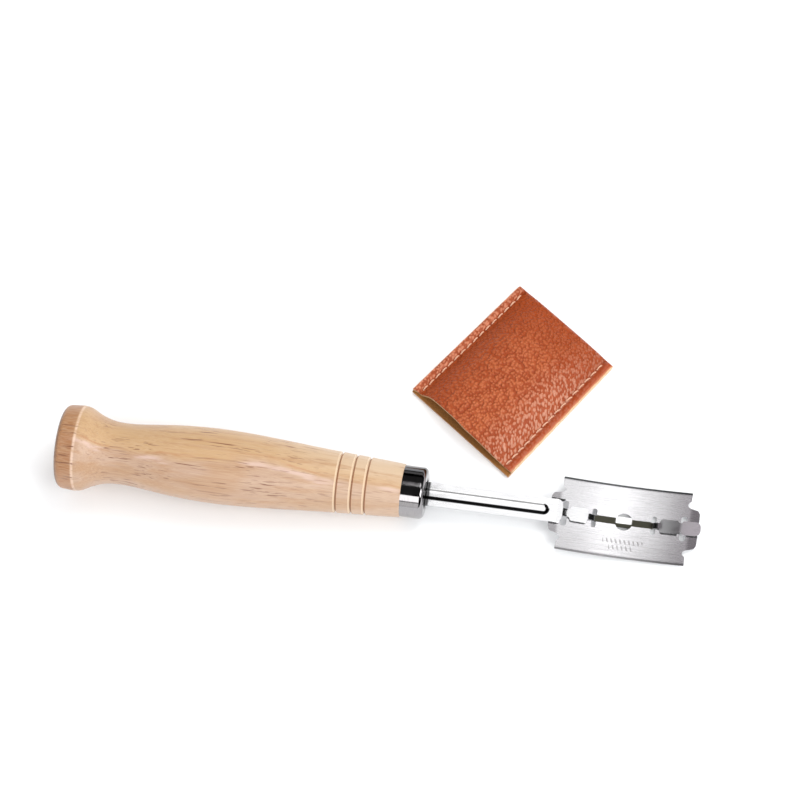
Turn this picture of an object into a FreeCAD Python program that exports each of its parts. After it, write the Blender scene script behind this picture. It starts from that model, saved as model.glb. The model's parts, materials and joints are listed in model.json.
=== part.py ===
import FreeCAD, Part
import math

# Bread lame: a turned wooden handle with a chromed ferrule, a stamped steel blade
# holder, a double-edge razor blade threaded on the holder's tongue, and a stitched
# leather blade cover lying beside it.
#
# The lame is drawn along X with the butt at x = 0, then tipped into its resting pose.
# The row frame is millimetres, +Z up, z = 0 on the table, origin under the centre of
# the whole part's box, and X along the lame from butt to tip.

Vec = FreeCAD.Vector
X_AXIS = Vec(1, 0, 0)
Y_AXIS = Vec(0, 1, 0)
Z_AXIS = Vec(0, 0, 1)
ORIGIN = Vec(0, 0, 0)

# ---------------------------------------------------------------- driving dimensions
# handle, turned about the X axis: stations (distance from butt, radius)
BUTT_CORNER_R = 2.0
BUTT_R = 12.35
RIM_ARC = [(5.0, 12.57), (5.42, 12.57), (5.9, 12.48)]
HANDLE_PROFILE = [
    (7.9, 11.95), (9.6, 11.0), (11.4, 10.2), (13.8, 9.45), (18.0, 9.0), (24.0, 9.35),
    (31.0, 10.15), (39.0, 10.75), (47.0, 10.95), (56.5, 10.65), (66.0, 10.05),
    (76.0, 9.3), (86.0, 8.7), (94.0, 8.25),
]
HANDLE_END = 101.3
HANDLE_END_R = 7.75
HANDLE_END_CHAMFER = 0.25
GROOVES = (82.6, 87.0, 91.0)
GROOVE_HALF_WIDTH = 0.5
GROOVE_DEPTH = 0.65
TENON_R = 6.8
TENON_END = 107.1
TENON_CHAMFER = 0.6
BORE_START = 82.0
BORE_WIDTH = 7.4
BORE_HEIGHT = 2.6

# ferrule, a drawn cup over the tenon
FERRULE_R = 7.5
FERRULE_WALL = 0.65
FERRULE_FACE = 108.0
FERRULE_FACE_THICKNESS = 0.8
FERRULE_CORNER_R = 1.3
FERRULE_INNER_CORNER_R = 0.5
FERRULE_SLOT_WIDTH = 8.6
FERRULE_SLOT_HEIGHT = 3.4

# holder, one stamped strip
STRIP_T = 0.8
TANG_START = 84.0
TANG_HALF_WIDTH = 2.8
NECK_START = 107.2
NECK_HALF_WIDTH = 3.5
NECK_END = 147.4
FLUTE_START = 108.3
FLUTE_END = 142.3
FLUTE_HALF_WIDTH = 1.55
FLUTE_FLOOR_HALF_WIDTH = 0.72
FLUTE_DEPTH = 0.42
BEND_START = 145.5
TONGUE_BEND_END = 150.0
TIP = 187.8
# half outline of the tongue: (distance from butt, half width, corner radius)
TONGUE_OUTLINE = [
    (NECK_END, NECK_HALF_WIDTH, 1.6), (147.95, 1.15, 0.5), (149.8, 1.15, 0.5),
    (150.4, 2.2, 0.7), (154.9, 2.2, 0.7), (155.2, 0.85, 0.35), (157.8, 0.85, 0.35),
    (158.2, 1.45, 0.35), (172.9, 1.45, 0.35), (173.3, 0.85, 0.35), (175.9, 0.85, 0.35),
    (176.2, 2.05, 0.8), (181.0, 2.05, 0.8), (181.5, 1.45, 0.3), (182.3, 1.45, 0.3),
    (182.7, 2.1, 0.6), (TIP, 2.1, 1.7),
]
CROSSINGS = ((155.2, 157.7), (173.4, 175.9))
TONGUE_OFFSET = 0.48

# razor blade, the standard double-edge pattern
BLADE_HALF_LENGTH = 21.45
BLADE_HALF_WIDTH = 11.0
BLADE_T = 0.1
BLADE_EDGE_T = 0.02
BEVEL_WIDTH = 0.95
BLADE_CENTRE = 165.6
BLADE_BOW_R = 140.0
BLADE_DROOP_DEG = 0.5
BLADE_CENTRE_Z = -2.34
EDGE_HALF_LENGTH = 18.7
# quarter outline: (along, across, corner radius), from the cutting edge to the end
BLADE_QUARTER = [
    (EDGE_HALF_LENGTH, BLADE_HALF_WIDTH, 0.25), (18.55, 8.35, 0.3), (17.75, 7.7, 0.3),
    (17.75, 6.85, 0.35), (18.6, 6.3, 0.3), (20.9, 5.75, 0.8), (BLADE_HALF_LENGTH, 4.6, 0.5),
]
SLOT_HALF_WIDTH = 1.0
CENTRE_HOLE_R = 2.55
# openings on both sides of the centre: (along, length, half height, corner radius)
CROSS_BAR = (8.6, 1.4, 2.8, 0.6)
WIDE_HOLE = (12.3, 3.4, 1.9, 1.2)
END_BAR = (17.2, 1.8, 3.75, 0.85)

# cover, one folded piece of leather stitched down both sides
LEATHER_T = 1.4
COVER_DEPTH = 45.3
COVER_MOUTH_HALF = 19.7
COVER_FOLD_HALF = 18.9
COVER_CENTRE = (127.0, 39.75)
COVER_TURN_DEG = -35.7
POCKET_MARGIN = 3.4
POCKET_GAPS = [(0.0, 4.4), (14.0, 4.4), (31.0, 4.25), (40.0, 2.9), (43.9, 1.5)]
POCKET_BOTTOM = 42.6
FOLD_EDGE_Z = (0.75, 3.35)
# how far the front wall's lip stands back at the mouth: (share of the half width, distance)
LIP_RECESS = [
    (-1.1, 0.2), (-0.9, 0.75), (-0.64, 1.55), (-0.25, 1.4),
    (0.17, 1.0), (0.59, 0.95), (0.87, 1.25), (1.1, 1.35),
]
CROWN_POWER = 3.4
SEAM_INSET = 2.5
STITCH_PITCH = 2.6
STITCH_COUNT = 16
THREAD_W = 0.42
THREAD_T = 0.3
THREAD_RISE = 0.22
CREASE_WIDTH = 0.9
CREASE_DEPTH = 0.38


# ---------------------------------------------------------------- helpers
def rounded_face(points):
    """Face in the XY plane from (x, y, corner radius) vertices, with rounded corners."""
    edges = []
    joints = []
    count = len(points)
    for i in range(count):
        before = Vec(points[i - 1][0], points[i - 1][1], 0)
        here = Vec(points[i][0], points[i][1], 0)
        after = Vec(points[(i + 1) % count][0], points[(i + 1) % count][1], 0)
        radius = points[i][2]
        back = (before - here).normalize()
        ahead = (after - here).normalize()
        half_angle = back.getAngle(ahead) / 2
        if radius <= 0 or abs(half_angle - math.pi / 2) < 1e-4:
            joints.append((here, None, here))
            continue
        reach = radius / math.tan(half_angle)
        middle = (back + ahead).normalize()
        centre = here + middle * (radius / math.sin(half_angle))
        joints.append((here + back * reach, centre - middle * radius, here + ahead * reach))
    for i in range(count):
        start, bulge, end = joints[i]
        if bulge is not None:
            edges.append(Part.Arc(start, bulge, end).toShape())
        following = joints[(i + 1) % count][0]
        if end.distanceToPoint(following) > 1e-6:
            edges.append(Part.makeLine(end, following))
    return Part.Face(Part.Wire(edges))


def mirrored(half):
    """Close a half outline given above the X axis by its mirror image below."""
    return half + [(x, -y, r) for x, y, r in reversed(half)]


def prism(face, low, high):
    """Extrude a face lying in z = 0 so that it spans low to high."""
    moved = face.copy()
    moved.translate(Vec(0, 0, low))
    return moved.extrude(Vec(0, 0, high - low))


def box(x_range, y_half, z_range):
    """Box centred on the XZ plane."""
    size = (x_range[1] - x_range[0], 2 * y_half, z_range[1] - z_range[0])
    return Part.makeBox(size[0], size[1], size[2], Vec(x_range[0], -y_half, z_range[0]))


def turned(edges):
    """Solid of revolution about the X axis from profile edges in the XZ plane."""
    return Part.Face(Part.Wire(edges)).revolve(ORIGIN, X_AXIS, 360)


def polyline(points):
    """Straight edges through points."""
    return [Part.makeLine(a, b) for a, b in zip(points, points[1:])]


def spline(points):
    """One smooth edge through points."""
    curve = Part.BSplineCurve()
    curve.interpolate(points)
    return curve.toShape()


def smooth_step(value):
    """Ease from 0 to 1."""
    value = min(max(value, 0.0), 1.0)
    return value * value * (3 - 2 * value)


# ---------------------------------------------------------------- lame, drawn along X
def make_handle():
    """Turned handle with three V grooves, a tenon for the ferrule and a blind bore."""
    diagonal = BUTT_CORNER_R * (1 - math.sqrt(0.5))
    corner = Part.Arc(
        Vec(0, 0, BUTT_R - BUTT_CORNER_R),
        Vec(diagonal, 0, BUTT_R - diagonal),
        Vec(BUTT_CORNER_R, 0, BUTT_R),
    ).toShape()
    rim_start, rim_mid, rim_end = [Vec(x, 0, r) for x, r in RIM_ARC]
    body_end = Vec(HANDLE_END - HANDLE_END_CHAMFER, 0, HANDLE_END_R)
    body = spline([rim_end] + [Vec(x, 0, r) for x, r in HANDLE_PROFILE] + [body_end])
    front = polyline([
        body_end, Vec(HANDLE_END, 0, HANDLE_END_R - HANDLE_END_CHAMFER),
        Vec(HANDLE_END, 0, TENON_R), Vec(TENON_END - TENON_CHAMFER, 0, TENON_R),
        Vec(TENON_END, 0, TENON_R - TENON_CHAMFER), Vec(TENON_END, 0, 0),
        ORIGIN, Vec(0, 0, BUTT_R - BUTT_CORNER_R),
    ])
    band = Part.makeLine(Vec(BUTT_CORNER_R, 0, BUTT_R), rim_start)
    rim = Part.Arc(rim_start, rim_mid, rim_end).toShape()
    handle = turned([corner, band, rim, body] + front)
    for station in GROOVES:
        handle = handle.cut(groove_ring(station))
    bore = box((BORE_START, TENON_END + 1), BORE_WIDTH / 2, (-BORE_HEIGHT / 2, BORE_HEIGHT / 2))
    return handle.cut(bore)


def handle_radius(station):
    """Radius of the handle at a station in front of the waist, by linear interpolation."""
    stations = HANDLE_PROFILE + [(HANDLE_END, HANDLE_END_R)]
    for (x0, r0), (x1, r1) in zip(stations, stations[1:]):
        if x0 <= station <= x1:
            return r0 + (r1 - r0) * (station - x0) / (x1 - x0)
    return HANDLE_END_R


def groove_ring(station):
    """V-shaped ring that cuts one groove."""
    radius = handle_radius(station)
    lip = 1.0
    flare = GROOVE_HALF_WIDTH * (1 + lip / GROOVE_DEPTH)
    ring = polyline([
        Vec(station, 0, radius - GROOVE_DEPTH), Vec(station + flare, 0, radius + lip),
        Vec(station - flare, 0, radius + lip), Vec(station, 0, radius - GROOVE_DEPTH),
    ])
    return turned(ring)


def make_ferrule():
    """Drawn cup with a rounded front corner and a slot in its face for the neck."""
    inner_r = FERRULE_R - FERRULE_WALL
    inner_face = FERRULE_FACE - FERRULE_FACE_THICKNESS
    outer_turn = FERRULE_CORNER_R * (1 - math.sqrt(0.5))
    inner_turn = FERRULE_INNER_CORNER_R * (1 - math.sqrt(0.5))
    outer_start = Vec(FERRULE_FACE - FERRULE_CORNER_R, 0, FERRULE_R)
    outer_end = Vec(FERRULE_FACE, 0, FERRULE_R - FERRULE_CORNER_R)
    inner_start = Vec(inner_face, 0, inner_r - FERRULE_INNER_CORNER_R)
    inner_end = Vec(inner_face - FERRULE_INNER_CORNER_R, 0, inner_r)
    outer_mid = Vec(FERRULE_FACE - outer_turn, 0, FERRULE_R - outer_turn)
    inner_mid = Vec(inner_face - inner_turn, 0, inner_r - inner_turn)
    edges = [
        Part.makeLine(Vec(HANDLE_END, 0, FERRULE_R), outer_start),
        Part.Arc(outer_start, outer_mid, outer_end).toShape(),
    ]
    edges += polyline([outer_end, Vec(FERRULE_FACE, 0, 0), Vec(inner_face, 0, 0), inner_start])
    edges.append(Part.Arc(inner_start, inner_mid, inner_end).toShape())
    edges += polyline([inner_end, Vec(HANDLE_END, 0, inner_r), Vec(HANDLE_END, 0, FERRULE_R)])
    cup = turned(edges)
    straight = (FERRULE_SLOT_WIDTH - FERRULE_SLOT_HEIGHT) / 2
    depth = (inner_face - 0.5, FERRULE_FACE + 0.5)
    slot = box(depth, straight, (-FERRULE_SLOT_HEIGHT / 2, FERRULE_SLOT_HEIGHT / 2))
    for side in (-1, 1):
        start = Vec(depth[0], side * straight, 0)
        round_end = Part.makeCylinder(FERRULE_SLOT_HEIGHT / 2, depth[1] - depth[0], start, X_AXIS)
        slot = slot.fuse(round_end)
    return cup.cut(slot)


def blade_height(station):
    """Height of the bowed blade's middle surface above the handle's axis plane."""
    along = station - BLADE_CENTRE
    droop = math.tan(math.radians(BLADE_DROOP_DEG))
    return BLADE_CENTRE_Z - droop * along + along * along / (2 * BLADE_BOW_R)


def tongue_height(station):
    """Height of the strip's middle: straight neck, then over, under and over the blade."""
    if station <= BEND_START:
        return 0.0
    (down_0, down_1), (up_0, up_1) = CROSSINGS
    under = smooth_step((station - down_0) / (down_1 - down_0))
    under -= smooth_step((station - up_0) / (up_1 - up_0))
    height = blade_height(station) + TONGUE_OFFSET * (1 - 2 * under)
    blend = smooth_step((station - BEND_START) / (TONGUE_BEND_END - BEND_START))
    return height * blend


def make_holder():
    """One stamped strip: tang, fluted neck and notched tongue."""
    step = 0.5
    count = int(round((TIP + 1 - BEND_START) / step))
    stations = [BEND_START + step * i for i in range(count + 1)]
    half_t = STRIP_T / 2
    wall = FLUTE_HALF_WIDTH - FLUTE_FLOOR_HALF_WIDTH
    top = [Vec(x, 0, tongue_height(x) + half_t) for x in stations]
    bottom = [Vec(x, 0, tongue_height(x) - half_t) for x in stations]
    start = TANG_START - 1
    side = Part.Face(Part.Wire([
        Part.makeLine(Vec(start, 0, half_t), top[0]), spline(top),
        Part.makeLine(top[-1], bottom[-1]), spline(bottom),
        Part.makeLine(bottom[0], Vec(start, 0, -half_t)),
        Part.makeLine(Vec(start, 0, -half_t), Vec(start, 0, half_t)),
    ]))
    side.translate(Vec(0, -NECK_HALF_WIDTH - 1, 0))
    strip = side.extrude(Vec(0, 2 * NECK_HALF_WIDTH + 2, 0))
    half_outline = [
        (TANG_START, TANG_HALF_WIDTH - 1.2, 0), (TANG_START + 1.6, TANG_HALF_WIDTH, 0),
        (NECK_START, TANG_HALF_WIDTH, 0), (NECK_START, NECK_HALF_WIDTH, 0.3),
    ] + TONGUE_OUTLINE
    blank = strip.common(prism(rounded_face(mirrored(half_outline)), -8, 4))
    spread = STRIP_T * math.tan(math.atan(FLUTE_DEPTH / wall) / 2)
    boss = flute_bar(spread, -half_t)
    return blank.fuse(boss).cut(flute_bar(0.0, half_t))


def flute_bar(spread, top):
    """Round-ended bar with sloping walls that fills the flute, its upper face at a height."""
    wide = FLUTE_HALF_WIDTH + spread
    narrow = FLUTE_FLOOR_HALF_WIDTH + spread
    floor = top - FLUTE_DEPTH
    trough = Part.Face(Part.makePolygon([
        Vec(FLUTE_START, -wide, top), Vec(FLUTE_START, -narrow, floor),
        Vec(FLUTE_START, narrow, floor), Vec(FLUTE_START, wide, top), Vec(FLUTE_START, -wide, top),
    ]))
    bar = trough.extrude(Vec(FLUTE_END - FLUTE_START, 0, 0))
    for station in (FLUTE_START, FLUTE_END):
        bar = bar.fuse(Part.makeCone(narrow, wide, FLUTE_DEPTH, Vec(station, 0, floor)))
    return bar.removeSplitter()


def make_tang_adhesive(holder):
    """Adhesive that fills the bore round the tang."""
    gap = 0.6
    height = (-BORE_HEIGHT / 2, BORE_HEIGHT / 2)
    filling = box((BORE_START, NECK_START - gap), BORE_WIDTH / 2, height)
    return filling.cut(holder)


def make_blade():
    """Double-edge blade, bowed along its length, with the standard slot."""
    flat_half = BLADE_HALF_WIDTH - BEVEL_WIDTH
    section = [
        (-BLADE_HALF_WIDTH, -BLADE_EDGE_T / 2), (-flat_half, -BLADE_T / 2),
        (flat_half, -BLADE_T / 2), (BLADE_HALF_WIDTH, -BLADE_EDGE_T / 2),
        (BLADE_HALF_WIDTH, BLADE_EDGE_T / 2), (flat_half, BLADE_T / 2),
        (-flat_half, BLADE_T / 2), (-BLADE_HALF_WIDTH, BLADE_EDGE_T / 2),
    ]
    ring = [Vec(0, y, z) for y, z in section]
    section_face = Part.Face(Part.makePolygon(ring + ring[:1]))
    sweep = math.degrees(BLADE_HALF_LENGTH / BLADE_BOW_R) + 0.5
    bow_axis = Vec(0, 0, BLADE_BOW_R)
    section_face.rotate(bow_axis, Y_AXIS, -sweep)
    blank = section_face.revolve(bow_axis, Y_AXIS, 2 * sweep)
    upper = [(-x, y, r) for x, y, r in reversed(BLADE_QUARTER)] + BLADE_QUARTER
    outline = prism(rounded_face(mirrored(upper)), -2, 4)
    blade = blank.common(outline.cut(blade_slot()))
    blade.rotate(ORIGIN, Y_AXIS, BLADE_DROOP_DEG)
    blade.translate(Vec(BLADE_CENTRE, 0, BLADE_CENTRE_Z))
    return blade


def blade_slot():
    """Cutter for the long slot, the centre hole, the cross bars and the end bars."""
    reach = END_BAR[0] + END_BAR[1] / 2
    openings = [(-reach, reach, SLOT_HALF_WIDTH, 0.8)]
    for centre, length, half, radius in (CROSS_BAR, WIDE_HOLE, END_BAR):
        for side in (-1, 1):
            openings.append((side * centre - length / 2, side * centre + length / 2, half, radius))
    cutter = Part.makeCylinder(CENTRE_HOLE_R, 8, Vec(0, 0, -3))
    for low, high, half, radius in openings:
        face = rounded_face(mirrored([(low, half, radius), (high, half, radius)]))
        cutter = cutter.fuse(prism(face, -3, 5))
    return cutter


# ---------------------------------------------------------------- cover, drawn along Y
def cover_half_width(depth):
    """Half width of the leather at a distance from the mouth."""
    return COVER_MOUTH_HALF + (COVER_FOLD_HALF - COVER_MOUTH_HALF) * depth / COVER_DEPTH


def crown_edge(half, base, gap, depth):
    """Smooth crowned edge across the cover, from its right to its left."""
    samples = 16
    points = []
    for i in range(samples + 1):
        across = 1 - 2 * i / samples
        height = base + gap * (1 - abs(across) ** CROWN_POWER)
        points.append(Vec(across * half, depth, height))
    return spline(points)


def outer_section(depth, gap, low, seam_top):
    """Outline of the folded leather at one distance from the mouth."""
    half = cover_half_width(depth)
    inner = half - POCKET_MARGIN
    crown = crown_edge(inner, seam_top, gap, depth)
    sides = polyline([
        Vec(-inner, depth, seam_top), Vec(-half, depth, seam_top), Vec(-half, depth, low),
        Vec(half, depth, low), Vec(half, depth, seam_top), Vec(inner, depth, seam_top),
    ])
    return Part.Wire([crown] + sides)


def pocket_section(depth, gap):
    """Outline of the pocket between the two layers at one distance from the mouth."""
    inner = cover_half_width(max(depth, 0.0)) - POCKET_MARGIN
    crown = crown_edge(inner, LEATHER_T, gap, depth)
    floor = Part.makeLine(Vec(-inner, depth, LEATHER_T), Vec(inner, depth, LEATHER_T))
    return Part.Wire([crown, floor])


def make_cover_leather():
    """Folded leather with its pocket open at the mouth and a crease under each seam."""
    allowance = 1.0
    sections = [outer_section(depth, gap, -allowance, 2 * LEATHER_T) for depth, gap in POCKET_GAPS]
    end_low, end_high = FOLD_EDGE_Z
    sections.append(outer_section(COVER_DEPTH, 0.35, end_low, end_high - 0.35))
    leather = Part.makeLoft(sections, True, True)
    inside = [(depth, gap) for depth, gap in POCKET_GAPS if depth < POCKET_BOTTOM]
    inside[0] = (-1.0, inside[0][1])
    inside.append((POCKET_BOTTOM, 0.5))
    pocket = Part.makeLoft([pocket_section(depth, gap) for depth, gap in inside], True, True)
    leather = leather.cut(pocket)
    span = 2 * COVER_DEPTH
    table = Part.makeBox(span, span, allowance + 1, Vec(-span / 2, -span / 4, -allowance - 1))
    leather = leather.cut(table)
    for side in (-1, 1):
        leather = leather.cut(place_seam(crease_bar(), side))
    return leather.cut(lip_recess())


def lip_recess():
    """Block that trims the front wall's lip back in a shallow curve."""
    curve = [Vec(share * COVER_MOUTH_HALF, distance, LEATHER_T) for share, distance in LIP_RECESS]
    outside = -1.0
    far = [curve[-1], Vec(curve[-1].x, outside, LEATHER_T), Vec(curve[0].x, outside, LEATHER_T), curve[0]]
    face = Part.Face(Part.Wire([spline(curve)] + polyline(far)))
    return face.extrude(Vec(0, 0, 3 * LEATHER_T + POCKET_GAPS[0][1]))


def stitch_start():
    """Distance of the first stitch hole from the mouth."""
    return (COVER_DEPTH - STITCH_PITCH * STITCH_COUNT) / 2


def crease_bar():
    """Bar that presses the stitch line into the underside."""
    length = STITCH_PITCH * STITCH_COUNT + 1.0
    corner = Vec(-CREASE_WIDTH / 2, stitch_start() - 0.5, -1)
    return Part.makeBox(CREASE_WIDTH, length, 1 + CREASE_DEPTH, corner)


def place_seam(shape, side):
    """Move a shape drawn on the Y axis onto a seam, parallel to the cover's edge."""
    lean = math.degrees(math.atan((COVER_FOLD_HALF - COVER_MOUTH_HALF) / COVER_DEPTH))
    moved = shape.copy()
    moved.rotate(ORIGIN, Z_AXIS, -side * lean)
    moved.translate(Vec(side * (COVER_MOUTH_HALF - SEAM_INSET), 0, 0))
    return moved


def make_thread(face_z, outward, inner_z):
    """One seam thread: a low arch over each stitch and a leg down each hole."""
    half_w = THREAD_W / 2
    low = face_z - outward * 0.1
    crest = face_z + outward * THREAD_RISE
    pieces = []
    for i in range(STITCH_COUNT + 1):
        hole = stitch_start() + STITCH_PITCH * i
        z_low, z_high = sorted((inner_z, low))
        leg = Part.makeBox(THREAD_W, THREAD_W, z_high - z_low, Vec(-half_w, hole - half_w, z_low))
        pieces.append(leg)
        if i == STITCH_COUNT:
            continue
        shoulder = 0.55
        arch = [
            (hole - half_w, low), (hole + shoulder, crest), (hole + STITCH_PITCH - shoulder, crest),
            (hole + STITCH_PITCH + half_w, low),
            (hole + STITCH_PITCH - half_w, low - outward * THREAD_T),
            (hole + STITCH_PITCH - shoulder, crest - outward * THREAD_T),
            (hole + shoulder, crest - outward * THREAD_T), (hole + half_w, low - outward * THREAD_T),
            (hole - half_w, low),
        ]
        face = Part.Face(Part.makePolygon([Vec(-half_w, y, z) for y, z in arch]))
        pieces.append(face.extrude(Vec(THREAD_W, 0, 0)))
    return pieces[0].multiFuse(pieces[1:]).removeSplitter()


# ---------------------------------------------------------------- assembly
def resting_tilt():
    """Tip angle of the lame, lying on its belly and on the ferrule's front corner."""
    contact = FERRULE_FACE - FERRULE_CORNER_R
    slopes = [(r - FERRULE_R) / (contact - x) for x, r in HANDLE_PROFILE if x > 30]
    return math.degrees(math.atan(max(slopes)))


def lay_down(shapes, tilt):
    """Tip the lame and set its lowest point on the table."""
    for shape in shapes.values():
        shape.rotate(ORIGIN, Y_AXIS, tilt)
    lowest = min(shapes[name].optimalBoundingBox().ZMin for name in ("handle", "ferrule", "holder"))
    for shape in shapes.values():
        shape.translate(Vec(0, 0, -lowest))


def place_cover(shapes):
    """Turn the cover about the vertical and set it beside the lame."""
    for shape in shapes.values():
        shape.translate(Vec(0, -COVER_DEPTH / 2, 0))
        shape.rotate(ORIGIN, Z_AXIS, COVER_TURN_DEG)
        shape.translate(Vec(COVER_CENTRE[0], COVER_CENTRE[1], 0))


def build():
    """Every node in the row frame."""
    holder = make_holder()
    lame = {
        "handle": make_handle(),
        "ferrule": make_ferrule(),
        "holder": holder,
        "tang_adhesive": make_tang_adhesive(holder),
        "blade": make_blade(),
    }
    lay_down(lame, resting_tilt())
    cover = {"cover_leather": make_cover_leather()}
    top_thread = make_thread(2 * LEATHER_T, 1, LEATHER_T + 0.05)
    under_thread = make_thread(CREASE_DEPTH - 0.12, -1, LEATHER_T - 0.05)
    for side, label in ((-1, "left"), (1, "right")):
        cover["seam_%s_upper_thread" % label] = place_seam(top_thread, side)
        cover["seam_%s_under_thread" % label] = place_seam(under_thread, side)
    place_cover(cover)
    nodes = dict(lame)
    nodes.update(cover)
    whole = Part.makeCompound(list(nodes.values())).optimalBoundingBox()
    shift = Vec(-(whole.XMin + whole.XMax) / 2, -(whole.YMin + whole.YMax) / 2, 0)
    for shape in nodes.values():
        shape.translate(shift)
    print("origin shift", shift, "tilt", resting_tilt())
    return nodes


for name, shape in build().items():
    solids = shape.Solids
    limits = shape.optimalBoundingBox()
    print("%-26s solids %d valid %s volume %9.2f  x %.2f..%.2f  y %.2f..%.2f  z %.3f..%.3f" % (
        name, len(solids), shape.isValid(), shape.Volume,
        limits.XMin, limits.XMax, limits.YMin, limits.YMax, limits.ZMin, limits.ZMax))
    node = solids[0] if len(solids) == 1 else shape
    node.exportStep("parts/%s.step" % name)
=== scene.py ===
"""Looks of the bread lame and its leather blade cover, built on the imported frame.

Places come from the frame: the lame's own axes from the butt face mount, the cover's from
its back face mount and its slide joint. Lengths below are in millimetres where the name
ends in _MM and in metres elsewhere.
"""
import json
import math
import random

import bpy
from mathutils import Matrix, Vector, noise


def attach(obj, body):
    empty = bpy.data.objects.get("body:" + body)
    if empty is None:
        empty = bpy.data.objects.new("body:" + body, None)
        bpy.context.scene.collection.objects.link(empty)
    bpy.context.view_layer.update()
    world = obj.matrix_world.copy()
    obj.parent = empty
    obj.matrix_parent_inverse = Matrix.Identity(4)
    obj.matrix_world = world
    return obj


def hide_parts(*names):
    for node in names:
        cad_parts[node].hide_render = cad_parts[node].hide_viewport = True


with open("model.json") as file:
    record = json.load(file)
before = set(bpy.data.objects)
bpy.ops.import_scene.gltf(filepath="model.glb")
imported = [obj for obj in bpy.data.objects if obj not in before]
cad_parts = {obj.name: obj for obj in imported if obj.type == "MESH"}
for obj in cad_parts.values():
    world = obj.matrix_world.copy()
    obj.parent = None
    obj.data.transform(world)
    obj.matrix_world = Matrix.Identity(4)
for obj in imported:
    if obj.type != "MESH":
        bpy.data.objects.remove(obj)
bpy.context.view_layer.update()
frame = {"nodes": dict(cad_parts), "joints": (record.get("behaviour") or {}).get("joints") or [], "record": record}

MM = 0.001
# places along the lame, from the butt face
RIM_END_MM = 5.7
RIDGE_MM = 5.75
GROOVES_MM = (82.6, 87.0, 91.0)
FERRULE_FACE_MM = 107.0
NECK_ROOT_MM = 108.7
FLUTE_END_MM = 142.3
NECK_END_MM = 148.0
BLADE_CENTRE_MM = 165.6
# stretch of the strip that carries a painted dim reflection
DIM_REFLECTION_START_MM = 175.2
DIM_REFLECTION_END_MM = 182.6
# places on the blade, from its middle
EDGE_START_MM = 10.3
TAB_START_MM = 18.2
SHOULDER_MM = 3.75
SHOULDER_END_MM = -17.2
# rows of ticks etched on the blade: middle along it, half length, place across it
TICK_ROWS_MM = ((0.4, 5.8, -6.0), (0.1, 3.6, -7.9))
TICK_HALF_HEIGHT_MM = 0.62
TICKS_PER_MM = 0.78
TICK_SHARE = 0.36
TICK_SLANT = 0.35
TICK_STRENGTH = 0.72
# half the slot in the ferrule's face
SLOT_HALF_WIDTH_MM = 4.2
SLOT_HALF_HEIGHT_MM = 1.75
COVER = "cover"
mounts = {mount["name"]: mount for mount in frame["record"]["mounts"]}


# ---------------------------------------------------------------- local frames
def frame_matrix(origin, x_axis, z_hint):
    """Matrix whose X column is x_axis and whose Z column is as near z_hint as it can be."""
    x_dir = Vector(x_axis).normalized()
    y_dir = Vector(z_hint).cross(x_dir).normalized()
    z_dir = x_dir.cross(y_dir)
    matrix = Matrix((x_dir, y_dir, z_dir)).transposed().to_4x4()
    matrix.translation = Vector(origin)
    return matrix


UP = (0, 0, 1)
butt = mounts["butt_face"]
lame_frame = frame_matrix(butt["pos_m"], [-a for a in butt["axis"]], UP)
blade_mount = mounts["blade_seat"]
blade_frame = frame_matrix(blade_mount["pos_m"], [-a for a in butt["axis"]], UP)
cover_slide = frame["joints"][0]
# the cover's X runs across it and its Y from the mouth to the fold
cover_depth_dir = Vector(cover_slide["axis"]).normalized()
cover_frame = frame_matrix(mounts["cover_back"]["pos_m"], cover_depth_dir.cross(Vector(UP)), UP)


# ---------------------------------------------------------------- node helpers
def new_material(name):
    """Material with a Principled shader; returns (material, tree, shader)."""
    material = bpy.data.materials.new(name)
    material.use_nodes = True
    tree = material.node_tree
    return material, tree, tree.nodes["Principled BSDF"]


def add(tree, kind, **settings):
    """New node with its properties set."""
    node = tree.nodes.new(kind)
    for key, value in settings.items():
        setattr(node, key, value)
    return node


def local_coordinates(tree, local_frame, scale=(1, 1, 1)):
    """Object coordinates seen from a local frame, in millimetres, then scaled."""
    source = add(tree, "ShaderNodeTexCoord")
    to_local = local_frame.inverted()
    move = add(tree, "ShaderNodeMapping", vector_type="POINT")
    move.inputs["Rotation"].default_value = to_local.to_euler("XYZ")
    move.inputs["Location"].default_value = to_local.translation
    tree.links.new(source.outputs["Object"], move.inputs["Vector"])
    stretch = add(tree, "ShaderNodeMapping", vector_type="POINT")
    stretch.inputs["Scale"].default_value = [s / MM for s in scale]
    tree.links.new(move.outputs["Vector"], stretch.inputs["Vector"])
    return stretch.outputs["Vector"]


def noise_value(tree, vector, scale, detail=3.0, roughness=0.5):
    """Noise texture's value."""
    node = add(tree, "ShaderNodeTexNoise")
    node.inputs["Scale"].default_value = scale
    node.inputs["Detail"].default_value = detail
    node.inputs["Roughness"].default_value = roughness
    tree.links.new(vector, node.inputs["Vector"])
    return node.outputs["Fac"]


def ramp(tree, value, low, high, low_out=0.0, high_out=1.0):
    """Smooth remap of a value from low..high to low_out..high_out."""
    node = add(tree, "ShaderNodeMapRange", interpolation_type="SMOOTHSTEP")
    node.inputs["From Min"].default_value = low
    node.inputs["From Max"].default_value = high
    node.inputs["To Min"].default_value = low_out
    node.inputs["To Max"].default_value = high_out
    tree.links.new(value, node.inputs["Value"])
    return node.outputs["Result"]


def math_node(tree, operation, first, second=None, third=None):
    """One arithmetic node; arguments are sockets or numbers."""
    node = add(tree, "ShaderNodeMath", operation=operation)
    for socket, value in zip(node.inputs, (first, second, third)):
        if value is None:
            continue
        if isinstance(value, (int, float)):
            socket.default_value = value
        else:
            tree.links.new(value, socket)
    return node.outputs[0]


def multiply(tree, first, second):
    """Product of two values."""
    return math_node(tree, "MULTIPLY", first, second)


def distance_from(tree, value, centre):
    """How far a value is from a centre, either way."""
    return math_node(tree, "ABSOLUTE", math_node(tree, "SUBTRACT", value, centre))


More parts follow.
